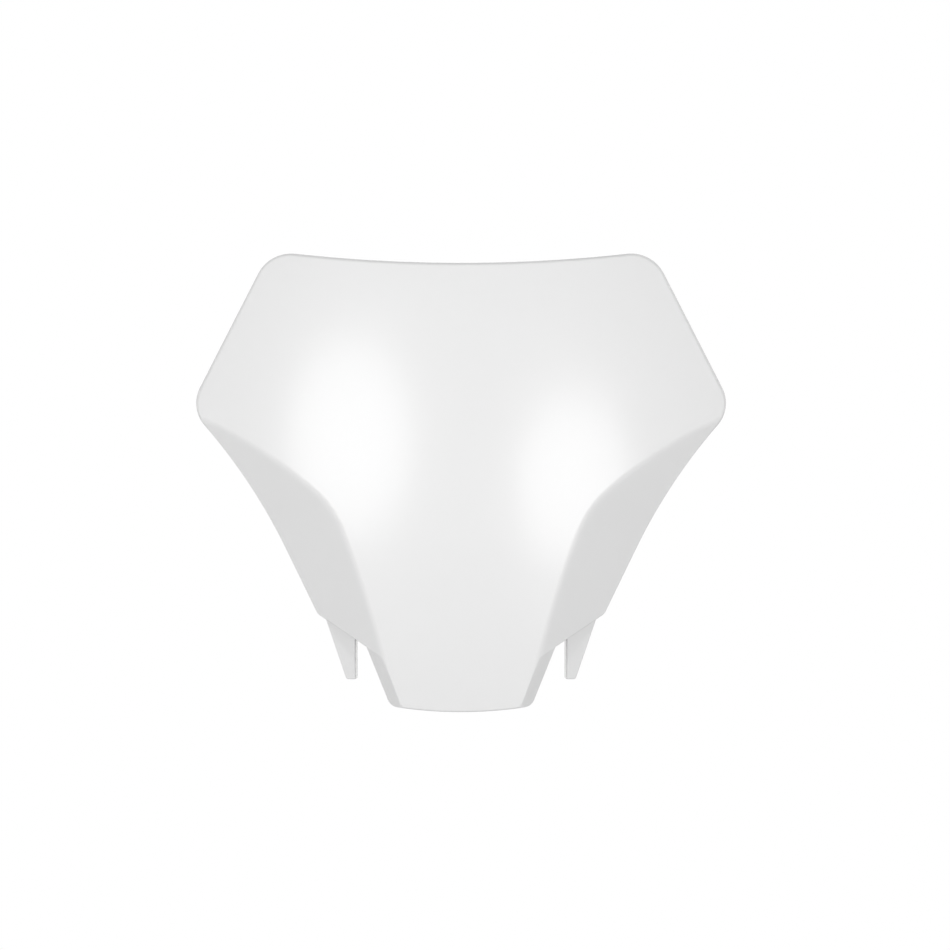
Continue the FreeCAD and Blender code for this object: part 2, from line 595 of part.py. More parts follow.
def lug(doc, size):
    """Right lug: a prong of even wall, open at the back."""
    profile = lug_profile(doc, size)
    outer = extrude(doc, "lug_outer", profile, "vector(0; 1; 0)", "sizes.half_width", "0")
    inner_profile = grown(doc, "lug_inner_profile", profile, "-sizes.lug_wall")
    inner = extrude(doc, "lug_inner", inner_profile, "vector(0; 1; 0)", "sizes.half_width", "0")
    outer_cut = cut(doc, "lug_outer_cut", outer, lug_front(doc, "lug_front", ""))
    inner_cut = cut(doc, "lug_inner_cut", inner, lug_front(doc, "lug_hollow", "sizes.lug_wall"))
    walls = cut(doc, "lug_walls", outer_cut, inner_cut)
    depth = lower_flank_frame("sizes.lug_setback + sizes.lug_depth")
    behind = solid_block(doc, "lug_behind", depth, ("-sizes.half_width", "-sizes.half_width", "-sizes.half_width"),
                         ("2 * sizes.half_width", "sizes.half_width", "2 * sizes.half_width"))
    open_lug = cut(doc, "lug_open", walls, behind)
    fade = (
        depth + " * placement(vector(-sizes.lug_fade_down; 0; 0); rotation(vector(0; 0; 1); sizes.lug_fade))"
    )
    root = solid_block(doc, "lug_root_fade", fade, ("0", "-sizes.half_width", "-sizes.half_width"),
                       ("sizes.half_width", "sizes.half_width", "2 * sizes.half_width"))
    return cut(doc, "lug", open_lug, root)


# The screw tab and the ribs

def screw_tab(doc, size):
    """Level tab with a round end and a screw hole, on two gussets."""
    sketch = doc.addObject("Sketcher::SketchObject", "tab_profile")
    half = size.tab_half_width
    reach = size.tab_reach
    right = add_line(sketch, (half, 0), (half, reach))
    end = add_arc(sketch, (0, reach), half, 0, 180)
    left = add_line(sketch, (-half, reach), (-half, 0))
    front = add_line(sketch, (-half, 0), (half, 0))
    hole = sketch.addGeometry(Part.Circle(Vector(0, reach, 0), Vector(0, 0, 1), size.screw_hole / 2))
    chain(sketch, [(right, 1, 2), (end, 1, 2), (left, 1, 2)])
    sketch.addConstraint(Sketcher.Constraint("Coincident", left, 2, front, 1))
    sketch.addConstraint(Sketcher.Constraint("Coincident", front, 2, right, 1))
    sketch.addConstraint(Sketcher.Constraint("Vertical", right))
    sketch.addConstraint(Sketcher.Constraint("PointOnObject", front, 1, -1))
    sketch.addConstraint(Sketcher.Constraint("PointOnObject", right, 1, -1))
    sketch.addConstraint(Sketcher.Constraint("PointOnObject", end, 3, -2))
    sketch.addConstraint(Sketcher.Constraint("Coincident", hole, 3, end, 3))
    tie(sketch, "half_width", "sizes.tab_half_width", "Radius", end, half)
    tie(sketch, "screw_hole", "sizes.screw_hole", "Diameter", hole, size.screw_hole)
    tie(sketch, "reach", "sizes.tab_reach", "DistanceY", -1, 1, end, 3, reach)
    sketch.setExpression("Placement", "placement(vector(0; 0; sizes.tab_level); rotation(vector(0; 0; 1); 0))")
    return extrude(doc, "screw_tab", sketch, "vector(0; 0; -1)", "sizes.tab_thickness", "0")


def gusset(doc, size):
    """Right gusset below the tab, tapering down the board."""
    sketch = doc.addObject("Sketcher::SketchObject", "gusset_profile")
    reach = size.tab_reach
    level = size.tab_level - size.tab_thickness
    drop = size.gusset_drop
    top = add_line(sketch, (0, level), (reach, level))
    slope = add_line(sketch, (reach, level), (0, level - drop))
    front = add_line(sketch, (0, level - drop), (0, level))
    for one, two in ((top, slope), (slope, front), (front, top)):
        sketch.addConstraint(Sketcher.Constraint("Coincident", one, 2, two, 1))
    sketch.addConstraint(Sketcher.Constraint("Horizontal", top))
    sketch.addConstraint(Sketcher.Constraint("PointOnObject", top, 1, -2))
    sketch.addConstraint(Sketcher.Constraint("PointOnObject", front, 1, -2))
    tie(sketch, "reach", "sizes.tab_reach", "DistanceX", top, 1, top, 2, reach)
    tie(sketch, "level", "sizes.tab_level - sizes.tab_thickness", "DistanceY", -1, 1, top, 1, level)
    tie(sketch, "drop", "sizes.gusset_drop", "DistanceY", front, 1, front, 2, drop)
    sketch.setExpression("Placement",
                         "placement(vector(sizes.rib_spacing / 2; 0; 0); rotation(vector(1; 1; 1); 120))")
    return extrude(doc, "gusset", sketch, "vector(1; 0; 0)", "sizes.rib_thickness / 2", "sizes.rib_thickness / 2")


def ribs(doc):
    """Plates for the two upright ribs and the cross rib, still too deep."""
    none = "placement(vector(0; 0; 0); rotation(vector(0; 0; 1); 0))"
    upright = solid_block(doc, "upright_rib", none,
                          ("(sizes.rib_spacing - sizes.rib_thickness) / 2", "0", "-sizes.tail_drop"),
                          ("sizes.rib_thickness", "sizes.half_width", "sizes.tail_drop + sizes.tab_level"))
    cross = solid_block(doc, "cross_rib", none,
                        ("-sizes.half_width", "0", "-sizes.cross_rib_drop - sizes.rib_thickness / 2"),
                        ("2 * sizes.half_width", "sizes.half_width", "sizes.rib_thickness"))
    return fuse(doc, "rib_plates", [upright, mirrored(doc, upright), cross])


def number_board(doc, size):
    """The whole moulding, with its screw hole at the origin."""
    half = half_outline(doc, size)
    flank = flank_profile(doc, size)
    shell, behind = board_shell(doc, size, half, flank)
    root = skin(doc, size, "root", flank, "sizes.wall / 2", 0)
    within = outline_block(doc, "root_outline", half, "sizes.wall / 2")
    right_lug = lug(doc, size)
    lugs = common(doc, "lugs", both_sides(doc, right_lug), root)
    low_ribs = cut(doc, "low_ribs", common(doc, "ribs_within", ribs(doc), within), behind)
    right_gusset = gusset(doc, size)
    fixing = fuse(doc, "fixing", [screw_tab(doc, size), right_gusset, mirrored(doc, right_gusset), low_ribs])
    seated = common(doc, "seated", fixing, root)
    board = fuse(doc, "number_board", [shell, lugs, seated])
    board.setExpression("Placement", "placement(vector(0; -sizes.tab_reach; -sizes.tab_level);"
                        " rotation(vector(0; 0; 1); 0))")
    return board


def check(doc, parts):
    """Stop if any object failed or any part is not one sound solid."""
    for thing in doc.Objects:
        if "Invalid" in thing.State or "Error" in thing.State:
            raise SystemExit("%s failed: %s" % (thing.Name, thing.State))
    for part in parts:
        if part.Shape.isNull() or not part.Shape.isValid():
            raise SystemExit(part.Label + " is not a valid shape")
        if len(part.Shape.Solids) != 1:
            raise SystemExit("%s has %d solids" % (part.Label, len(part.Shape.Solids)))


def main():
    doc = FreeCAD.newDocument("number_board")
    size = make_sheet(doc)
    board = number_board(doc, size)
    board.Label = "number_board"
    doc.recompute()
    check(doc, [board])
    os.makedirs("parts", exist_ok=True)
    board.Shape.exportStep("parts/%s.step" % board.Label)
    print("number_board: %.0f cubic mm, %d faces" % (board.Shape.Volume, len(board.Shape.Faces)))


main()
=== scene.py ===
import bpy
import numpy as np
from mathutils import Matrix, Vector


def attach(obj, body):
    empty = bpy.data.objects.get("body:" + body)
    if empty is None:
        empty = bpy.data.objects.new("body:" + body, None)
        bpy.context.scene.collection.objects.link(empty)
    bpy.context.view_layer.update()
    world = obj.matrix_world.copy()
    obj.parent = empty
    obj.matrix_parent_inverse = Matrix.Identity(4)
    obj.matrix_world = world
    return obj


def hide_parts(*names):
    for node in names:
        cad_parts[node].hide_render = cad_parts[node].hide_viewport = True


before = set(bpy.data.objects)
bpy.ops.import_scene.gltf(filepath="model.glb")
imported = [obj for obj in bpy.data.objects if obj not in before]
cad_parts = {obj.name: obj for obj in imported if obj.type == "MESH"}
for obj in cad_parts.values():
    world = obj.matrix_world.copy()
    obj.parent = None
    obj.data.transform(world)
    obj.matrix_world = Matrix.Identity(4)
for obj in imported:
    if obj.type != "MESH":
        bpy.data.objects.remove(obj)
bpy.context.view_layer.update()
print("frame loaded")

millimetre = 0.001
arcShares = np.linspace(0, 1, 7)[1:]  # shares of a rounded edge's arc, from the skin round to the wall
cornerCut = 0.3  # the middle of a small round lies this share of its radius in from either side


def linearColour(hexText):
    # sRGB to linear: a straight part near black and a power of 2.4 above it
    channels = np.array([int(hexText[i:i + 2], 16) for i in (1, 3, 5)]) / 255
    linear = np.where(channels <= 0.04045, channels / 12.92, ((channels + 0.055) / 1.055) ** 2.4)
    return (*linear.tolist(), 1)


def addNode(tree, kind, settings=None, values=None, links=None):
    node = tree.nodes.new(kind)
    for name, value in (settings or {}).items():
        setattr(node, name, value)
    for name, value in (values or {}).items():
        node.inputs[name].default_value = value
    for name, source in (links or {}).items():
        tree.links.new(source, node.inputs[name])
    return node


# The look of the moulding: white polypropylene as it leaves a finely grained mould. The eye gets an almost
# neutral white with two wide soft highlights and no sparkle. The grain is a real mould's and finer than a
# pixel of the main view, so it is seen only close up. The rounded front edges get a darker grey painted into
# their colour as painted shade.
plastic = {
    "colour": "#EDEDED",
    "paintedEdgeShade": "#CECECE",
    "roughness": 0.42,
    "skinGloss": 1,
    "skinRoughness": 0.2,
    "ior": 1.49,
    "grainMm": 0.35,
    "grainDepthMm": 0.004,
    "grainDetail": 2,
    "grainStrength": 0.3,
}


def makePlastic():
    # colour blended from the skin's to a darker painted edge shade by the mesh's painted shade share; fine noise
    # as the height of the bump
    mixA, mixB, mixResult = 6, 7, 2  # the Mix node's sockets for colours
    material = bpy.data.materials.new("mouldedPolypropylene")
    material.use_nodes = True
    tree = material.node_tree
    tree.nodes.clear()
    place = addNode(tree, "ShaderNodeTexCoord").outputs["Object"]
    grain = addNode(tree, "ShaderNodeTexNoise",
                    values={"Scale": 1 / (plastic["grainMm"] * millimetre), "Detail": plastic["grainDetail"]},
                    links={"Vector": place})
    bump = addNode(tree, "ShaderNodeBump",
                   values={"Strength": plastic["grainStrength"],
                           "Distance": plastic["grainDepthMm"] * millimetre},
                   links={"Height": grain.outputs["Fac"]})
    share = addNode(tree, "ShaderNodeSeparateXYZ",
                    links={"Vector": addNode(tree, "ShaderNodeUVMap", {"uv_map": "rimShare"}).outputs["UV"]})
    # painted shade: the skin's colour darkened towards the rounded front edges
    colour = addNode(tree, "ShaderNodeMix", {"data_type": "RGBA"})
    colour.inputs[mixA].default_value = linearColour(plastic["colour"])
    colour.inputs[mixB].default_value = linearColour(plastic["paintedEdgeShade"])
    tree.links.new(share.outputs["X"], colour.inputs[0])
    shader = addNode(tree, "ShaderNodeBsdfPrincipled",
                     values={"Roughness": plastic["roughness"],
                             "IOR": plastic["ior"], "Coat Weight": plastic["skinGloss"],
                             "Coat Roughness": plastic["skinRoughness"], "Coat IOR": plastic["ior"]},
                     links={"Base Color": colour.outputs[mixResult], "Normal": bump.outputs["Normal"]})
    addNode(tree, "ShaderNodeOutputMaterial", links={"Surface": shader.outputs["BSDF"]})
    return material


surround = {"strength": 0.505}


def makeWorld():
    # plain white where it is seen, reflected or seen through something, and a softer white as light
    world = bpy.data.worlds.new("whiteRoom")
    bpy.context.scene.world = world
    world.use_nodes = True
    tree = world.node_tree
    tree.nodes.clear()
    rays = addNode(tree, "ShaderNodeLightPath")
    seen = rays.outputs["Is Camera Ray"]
    for kind in ("Is Glossy Ray", "Is Transmission Ray"):
        larger = addNode(tree, "ShaderNodeMath", {"operation": "MAXIMUM"})
        tree.links.new(seen, larger.inputs[0])
        tree.links.new(rays.outputs[kind], larger.inputs[1])
        seen = larger.outputs[0]
    plain = addNode(tree, "ShaderNodeBackground",
                    values={"Color": (1, 1, 1, 1), "Strength": surround["strength"]})
    white = addNode(tree, "ShaderNodeBackground", values={"Color": (1, 1, 1, 1), "Strength": 1})
    mixed = addNode(tree, "ShaderNodeMixShader", links={"Fac": seen})
    tree.links.new(plain.outputs[0], mixed.inputs[1])
    tree.links.new(white.outputs[0], mixed.inputs[2])
    addNode(tree, "ShaderNodeOutputWorld", links={"Surface": mixed.outputs[0]})


# Lamps are large plain panels, in degrees, metres and watts. A turn of 0 is straight in front and positive to
# the board's right. The two front panels make the highlights; a matt one lights and isn't reflected.
lamps = {
    "leftPanel": {"turn": -27.5, "rise": 3, "distance": 1.6, "width": 0.9, "height": 0.68, "watts": 5.3},
    "rightPanel": {"turn": 27.5, "rise": -2, "distance": 1.6, "width": 0.8, "height": 0.6, "watts": 4.4},
    "leftSide": {"turn": -68, "rise": -14, "distance": 1.8, "width": 0.8, "height": 0.9, "watts": 5.7,
                 "matt": True},
    "rightSide": {"turn": 68, "rise": -14, "distance": 1.8, "width": 0.8, "height": 0.9, "watts": 5.7,
                  "matt": True},
    "frontPanel": {"turn": 0, "rise": 32, "distance": 2.6, "width": 3, "height": 2, "watts": 2.2},
    "rearPanel": {"turn": 180, "rise": 30, "distance": 3, "width": 2, "height": 1.4, "watts": 6},
}


def makeLamps():
    centre = np.array([0, 0, camera["centreZ"] * millimetre])
    for name, lamp in lamps.items():
        turn, rise = np.radians([lamp["turn"], lamp["rise"]])
        away = np.array([np.sin(turn) * np.cos(rise), -np.cos(turn) * np.cos(rise), np.sin(rise)])
        light = bpy.data.lights.new(name, "AREA")
        light.shape = "ELLIPSE"
        light.size = lamp["width"]
        light.size_y = lamp["height"]
        light.energy = lamp["watts"]
        thing = bpy.data.objects.new(name, light)
        bpy.context.scene.collection.objects.link(thing)
        thing.location = centre + away * lamp["distance"]
        direction = Vector((-away).tolist())
        thing.rotation_euler = direction.to_track_quat("-Z", "Y").to_euler()
        thing.visible_glossy = not lamp.get("matt", False)


# The photograph shows next to no perspective, so the camera stands far off with a very long lens
camera = {"distance": 10, "sensorMm": 36, "frameMm": 510.6, "centreX": 7.5, "centreZ": -77.7}


def makeCamera():
    data = bpy.data.cameras.new("photoCamera")
    data.sensor_width = camera["sensorMm"]
    data.lens = camera["sensorMm"] * camera["distance"] / (camera["frameMm"] * millimetre)
    data.clip_end = 2 * camera["distance"]
    thing = bpy.data.objects.new("photoCamera", data)
    bpy.context.scene.collection.objects.link(thing)
    thing.location = (camera["centreX"] * millimetre, -camera["distance"], camera["centreZ"] * millimetre)
    thing.rotation_euler = (np.pi / 2, 0, 0)
    bpy.context.scene.camera = thing


# The board in millimetres and degrees. X runs to the right, Y to the rear, Z up, from the centre of the widest
# level and the frontmost point; "seat" is where the screw hole, the frame's origin, lies.
board = {
    # outline
    "halfWidth": 142.5, "sideCorner": 18, "upperSide": 27.2, "topCorner": 20, "topMid": 75.1,
    "topHollow": 780, "waistHollow": 300, "lowerSide": 26, "footOut": 77.1, "footDrop": 113.4,
    "footRound": 5.4, "footEdge": 33.7, "notchIn": 26.4, "notchRound": 2, "tailSide": 21.9,
    "tailCorner": 6.5, "tailDrop": 165.9, "tailBow": 233,
    # face, flanks and bevels
    "faceBow": 270, "faceRise": 600, "faceFront": 31.5, "flankOut": 69, "flankDrop": 56.6,
    "flankSweep": 32.3, "flankSlope": 50, "flankUpperTurn": 4.9, "flankLowerTurn": 9.2, "flankHollow": 108,
    "creaseSoft": 1.8, "bevelIn": 7.3, "bevelFall": 2.5, "bevelLine": 25, "bevelSlope": 62,
    "bevelSoft": 0.5,
    # wall, return edge and the radius of the rounded front edge along the outline
    "wall": 2.3, "rim": 8, "rimRound": 0.5, "innerRound": 0.8, "topEdge": 2.2, "sideEdge": 3.6,
    "waistEdge": 2.52, "waistFade": 14, "lowerEdge": 1, "notchEdge": 0.4, "notchFade": (5, 6),
    # screw tab and ribs; runs of levels are from, to and count, closer where the gusset starts and ends
    "tabLevel": 39, "tabThick": 4, "tabHalf": 12, "tabReach": 38, "screwHole": 6.5, "holeEdge": 0.3,
    "tabEdge": 0.5, "gussetDrop": 24, "ribSpacing": 17, "ribThick": 1.8, "ribEdge": 0.3,
    "ribLevels": ((-164.2, 36, 150), (8, 14, 13), (34, 36, 5)), "crossRib": 118, "crossRibShort": 2.2,
    # lugs
    "lugInset": 4.5, "lugWidth": 17, "lugTipWidth": 6, "lugReach": 32.1, "lugTipRound": 1.6,
    "lugRoot": 24.5, "lugSetback": 3, "lugDepth": 9, "lugFade": 28, "lugFadeDown": 46, "lugWall": 2.2,
    "lugEdge": 0.5, "lugRim": 0.35, "lugRimCut": 0.1, "lugDraft": 1, "ridgeTop": (68, 125.2),
    "ridgeFoot": (58.6, 136.8), "ridgeFall": 0.35, "ridgeSoft": 0.4,
    # place in the frame, and the angle from which an edge is sharp. The solid's curved faces are cut into
    # flats, so its box is a hair smaller than the true shape's, and "fit" is that hair
    "seat": (0, 38, 39), "fit": 0.9997, "sharpAngle": 38,
}

# How the board's surface is divided: counts of rows and places in millimetres
division = {
    "spacing": 1.7, "leastSpans": 5, "outerRows": (40, 24, 9), "innerRows": (22, 12, 5), "crowding": 1.5,
    # the knee, where a row's way in turns from the flank's crease towards the middle line
    "kneeIn": 3, "topKneeIn": 12, "kneeLean": 1, "notchEase": 0.8, "lineEase": 6, "tailEase": 8,
    "topLineShare": 0.32, "creaseAhead": (30, 7), "outerLift": 1.2, "innerLift": 0.3,
    # levels of the middle line that the columns from the top centre to the tail centre run to
    "spineLevels": (50, 44, 4, -6, -96, -120, -128, -150, -154),
    "slopeStep": 0.05, "crossRows": 161, "lugRows": (19, 9), "lugSpine": (2.2, 9),
    # how the lines where two surfaces meet are searched for: halvings, and the range that each starts from
    "halvings": 40, "acrossSearch": (-45.0, 60.0), "outSearch": (5.0, 70.0), "lineSearch": (0, 25),
}


def unit(angle):
    return np.array([np.cos(np.radians(angle)), np.sin(np.radians(angle))])


def lowerMeeting(base, rise, centre, reach):
    # on the line through base at that rise, the lower point whose distance from centre is reach
    away = base - centre
    along = away @ unit(rise)
    return base + unit(rise) * (-along - np.sqrt(along ** 2 - away @ away + reach ** 2))


def angleOf(point, centre):
    return np.degrees(np.arctan2(point[1] - centre[1], point[0] - centre[0]))


def cornerCentre(corner, first, last, radius):
    # centre of a round in a corner, from the angles that its arc starts and ends at
    half = (last - first) / 2
    return corner + unit(first + half) * radius / abs(np.sin(np.radians(half)))


def turned(angle, axis):
    # rotation matrix about one of the three axes
    c, s = unit(angle)
    return {"x": np.array([[1, 0, 0], [0, c, -s], [0, s, c]]),
            "y": np.array([[c, 0, s], [0, 1, 0], [-s, 0, c]]),
            "z": np.array([[c, -s, 0], [s, c, 0], [0, 0, 1]])}[axis]


def outline():
    # Right half of the front outline from the top centre to the tail centre: places in the front view, the
    # directions that point out of the board there, and the index at which each part of it starts.
    b = board
    side = np.array([b["halfWidth"] - b["sideCorner"], 0])
    foot = np.array([b["footOut"], -b["footDrop"]])
    notch = foot - np.array([1, np.tan(np.radians(b["footEdge"]))]) * b["notchIn"]
    topCentre = np.array([0, b["topMid"] + b["topHollow"]])
    tailCentre = np.array([0, b["tailBow"] - b["tailDrop"]])
    top = lowerMeeting(side + unit(b["upperSide"]) * (b["sideCorner"] - b["topCorner"]), 90 + b["upperSide"],
                       topCentre, b["topHollow"] + b["topCorner"])
    waist = lowerMeeting(foot + unit(-b["lowerSide"]) * b["waistHollow"], 90 - b["lowerSide"],
                         side, b["sideCorner"] + b["waistHollow"])
    footRound = cornerCentre(foot, 90 - b["lowerSide"], b["footEdge"] + 180, b["footRound"])
    notchRound = cornerCentre(notch, b["footEdge"], -90 - b["tailSide"], b["notchRound"])
    tail = lowerMeeting(notch + unit(180 - b["tailSide"]) * b["tailCorner"], 90 - b["tailSide"],
                        tailCentre, b["tailBow"] - b["tailCorner"])
    turn, topTurn, tailTurn = angleOf(waist, side), angleOf(top, topCentre), angleOf(tail, tailCentre)
    # name, centre, radius (negative where the centre is outside the board), first and last angle
    arcs = [("topEdge", topCentre, -b["topHollow"], -90, topTurn),
            ("topCorner", top, b["topCorner"], 180 + topTurn, b["upperSide"]),
            ("sideCorner", side, b["sideCorner"], b["upperSide"], turn),
            ("waist", waist, -b["waistHollow"], 180 + turn, 180 - b["lowerSide"]),
            ("footCorner", footRound, b["footRound"], -b["lowerSide"], b["footEdge"] - 90),
            ("notch", notchRound, -b["notchRound"], b["footEdge"] + 90, 180 - b["tailSide"]),
            ("tailCorner", tail, b["tailCorner"], -b["tailSide"], tailTurn),
            ("tailEdge", tailCentre, b["tailBow"], tailTurn, -90)]
    touching = 0.01  # arcs that are closer than this meet without a straight edge between
    places, outwards, starts, count = [], [], {}, 0
    for name, centre, radius, first, last in arcs:
        length = abs(radius * np.radians(last - first))
        spans = max(division["leastSpans"], int(np.ceil(length / division["spacing"])))
        radial = unit(np.linspace(first, last, spans + 1)).T
        start = centre + abs(radius) * radial[0]
        if places:
            before = places[-1][-1]
            gap = np.linalg.norm(start - before)
            if gap > touching:
                # the straight edge between two rounds, its ends left out
                steps = max(1, int(np.ceil(gap / division["spacing"])))
                between = np.linspace(0, 1, steps + 1)[1:-1, None]
                starts["after " + previous] = count - 1
                places.append(before + (start - before) * between)
                outwards.append(np.repeat(outwards[-1][-1:], len(between), axis=0))
                count += len(between)
            else:
                places[-1], outwards[-1], count = places[-1][:-1], outwards[-1][:-1], count - 1
        starts[name] = count
        places.append(centre + abs(radius) * radial)
        outwards.append(np.sign(radius) * radial)
        count += spans + 1
        previous = name
    return np.vstack(places), np.vstack(outwards), starts


def faceDepth(x, z, inset=0):
    # the face is an upright arc swept round an upright axis behind it; inset moves it back, square to itself
    b = board
    rise = b["faceRise"] - np.sqrt((b["faceRise"] - inset) ** 2 - (z + b["faceFront"]) ** 2)
    return b["faceBow"] - np.sqrt((b["faceBow"] - rise) ** 2 - x ** 2)


def flankRun(x, z):
    # the flank's own two directions, along it and down across it
    c, s = unit(board["flankSweep"])
    out, up = x - board["flankOut"], z + board["flankDrop"]
    return out * s + up * c, out * c - up * s


def flankPlace(along, across):
    # front-view place from the flank's own two directions
    c, s = unit(board["flankSweep"])
    return np.stack([board["flankOut"] + along * s + across * c,
                     -board["flankDrop"] + along * c - across * s], axis=-1)


def flankDepth(x, z, inset=0):
    # a sloping plane whose section along its length is line, hollow arc, line
    b = board
    along, across = flankRun(x, z)
    up, low, radius = np.radians(b["flankUpperTurn"]), np.radians(b["flankLowerTurn"]), b["flankHollow"]
    run = radius * np.tan((up + low) / 2)
    middle = run * np.cos(up) - radius * np.sin(up)
    height = run * np.sin(up) + radius * np.cos(up)
    grown = radius + inset
    arc = height - np.sqrt(np.maximum(grown ** 2 - (along - middle) ** 2, 1))
    upper = np.tan(up) * along - inset / np.cos(up)
    lower = -np.tan(low) * along - inset / np.cos(low)
    hollow = np.where(along > middle + grown * np.sin(up), upper,
                      np.where(along < middle - grown * np.sin(low), lower, arc))
    slope = np.radians(b["flankSlope"])
    start = faceDepth(b["flankOut"], -b["flankDrop"])
    return start + across * np.tan(slope) - hollow / np.cos(slope)


def bevelPoint():
    # the front-view place through which the bevel's plane passes, on the face
    b = board
    drop = b["footDrop"] + b["notchIn"] * np.tan(np.radians(b["footEdge"])) + b["bevelFall"]
    return b["footOut"] - b["notchIn"] - b["bevelIn"], -drop


def bevelDepth(x, z, inset=0):
    # a plane through a point on the face
    b = board
    normal = turned(b["bevelLine"], "y") @ turned(b["bevelSlope"] - 90, "z") @ np.array([1, 0, 0])
    x0, z0 = bevelPoint()
    return faceDepth(x0, z0) + (normal[0] * (x - x0) + normal[2] * (z - z0) + inset) / -normal[1]


def softMax(one, two, soft):
    # the larger of two depths, with the crease between them rounded over a band where they differ little
    apart = np.abs(one - two)
    return np.maximum(one, two) + np.maximum(soft - apart, 0) ** 2 / (4 * soft)


def skinDepth(x, z, inset=0, bevelled=False):
    # the deeper of face and flank, and of the bevel too where it is asked for
    x = np.abs(x)
    folded = softMax(faceDepth(x, z, inset), flankDepth(x, z, inset), board["creaseSoft"])
    return np.where(bevelled, softMax(folded, bevelDepth(x, z, inset), board["bevelSoft"]), folded)


def bisected(gap, low, high):
    # where a rising function of one value passes zero, found for whole arrays at once
    low, high = np.broadcast_arrays(np.asarray(low, float), np.asarray(high, float))
    low, high = low.copy(), high.copy()
    for step in range(division["halvings"]):
        middle = (low + high) / 2
        over = gap(middle) > 0
        high = np.where(over, middle, high)
        low = np.where(over, low, middle)
    return (low + high) / 2


def creasePlace(along, inset):
    # where face and flank meet, for each place along the flank
    def gap(across):
        place = flankPlace(along, across)
        return flankDepth(place[..., 0], place[..., 1], inset) - faceDepth(place[..., 0], place[..., 1], inset)
    low, high = (np.full(np.shape(along), end) for end in division["acrossSearch"])
    return flankPlace(along, bisected(gap, low, high))


def bevelPlace(z, inset):
    # where face and bevel meet, for each level
    def gap(x):
        return bevelDepth(x, z, inset) - faceDepth(x, z, inset)
    low, high = (np.full(np.shape(z), end) for end in division["outSearch"])
    return np.stack([bisected(gap, low, high), z], axis=-1)


def eased(count, power):
    # fractions from 0 to 1 that crowd towards 1
    return 1 - (1 - np.linspace(0, 1, count)) ** power


def waved(count):
    # fractions from 0 to 1 that crowd at both ends
    return (1 - np.cos(np.pi * np.linspace(0, 1, count))) / 2


def boardColumns():
    # One column for each place on the outline: its place, outward direction and distance along the outline,
    # and whether it lies on the bevel. At the notch two columns share a place, one on either side of the step.
    place, outward, starts = outline()
    edge = np.concatenate([[0], np.cumsum(np.linalg.norm(np.diff(place, axis=0), axis=1))])
    notch = starts["notch"]
    place = np.insert(place, notch + 1, place[notch], axis=0)
    outward = np.insert(outward, notch + 1, outward[notch], axis=0)
    edge = np.insert(edge, notch + 1, edge[notch])
    starts = {name: (index if index <= notch else index + 1) for name, index in starts.items()}
    bevelled = np.arange(len(place)) > notch
    return place, outward, edge, starts, bevelled


def skinLines(inset, rail, lift, place, edge, starts, bevelled):
    # Places of the flank's crease and of the upper sheet's end on each column, for a skin set in by inset: each
    # is where two of the three surfaces have the same depth. The bevel's lines start and end on the rail, a
    # line beside the outline; lift keeps their end above it.
    b, d = board, division
    notch = starts["notch"]
    side = np.array([b["halfWidth"] - b["sideCorner"], 0])

    def aheadOfFlank(spot):
        return faceDepth(spot[0], spot[1], inset) - flankDepth(spot[0], spot[1], inset)

    # head: where the crease meets the side corner
    def cornerSpot(angle):
        return side + (b["sideCorner"] - inset) * unit(angle)
    angle = bisected(lambda turn: aheadOfFlank(cornerSpot(turn)), angleOf(place[starts["waist"]], side),
                     b["upperSide"])
    # fork: where the bevel's top line, which carries on the flank's bottom edge, meets the crease
    base, lineIn = rail[notch], unit(b["footEdge"] + 180)
    lineLength = bisected(lambda run: aheadOfFlank(base + lineIn * run), *d["lineSearch"])
    fork = base + lineIn * lineLength
    headAlong, forkAlong = flankRun(*cornerSpot(angle))[0], flankRun(*fork)[0]

    # tailMeet: where the line between face and bevel comes back to the rail
    def tailGap(run):
        spot = np.array([np.interp(run, edge, rail[:, 0]), np.interp(run, edge, rail[:, 1])])
        return faceDepth(spot[0], spot[1], inset) - bevelDepth(spot[0], spot[1], inset)
    tailMeet = bisected(tailGap, edge[starts["tailCorner"]], edge[-1])
    topLineEnd = edge[notch] + d["topLineShare"] * (tailMeet - edge[notch])
    creaseStart = edge[starts["sideCorner"]] + (b["upperSide"] - angle) / 180 * np.pi * b["sideCorner"]
    footMiddle = (edge[starts["footCorner"]] + edge[starts["after footCorner"]]) / 2
    along = np.interp(edge, [creaseStart, footMiddle, edge[notch], topLineEnd],
                      [headAlong, *(forkAlong + ahead for ahead in d["creaseAhead"]), forkAlong])
    crease = creasePlace(along, inset)

    # upper sheet's end: the outline itself, the top line, the bevel's inner line, the outline again
    runIn = np.clip((edge - edge[notch]) / (topLineEnd - edge[notch]), 0, 1)
    level = np.interp(edge, [topLineEnd, tailMeet], [fork[1], rail[np.searchsorted(edge, tailMeet), 1] + lift])
    end = base + lineIn * (lineLength * runIn)[:, None]
    shift = (fork - bevelPlace(fork[1], inset)) * np.clip(1 - (edge - topLineEnd) / d["lineEase"], 0, 1)[:, None]
    end = np.where((edge > topLineEnd)[:, None], bevelPlace(level, inset) + shift, end)
    atEdge = (~bevelled) | (edge >= tailMeet)
    onLine = bevelled & (edge <= topLineEnd)
    return crease, end, atEdge, onLine, creaseStart, topLineEnd, tailMeet


def paintedShadeShares(first, count):
    # How far round the front edge each row lies: 0 on the face, rising over the rows of the edge's arc to 1 and
    # falling to 0 again down the wall. Kept as the mesh's U coordinate, it sets the painted shade on the edge.
    share = np.zeros(count)
    share[first:first + len(arcShares)] = arcShares
    return share


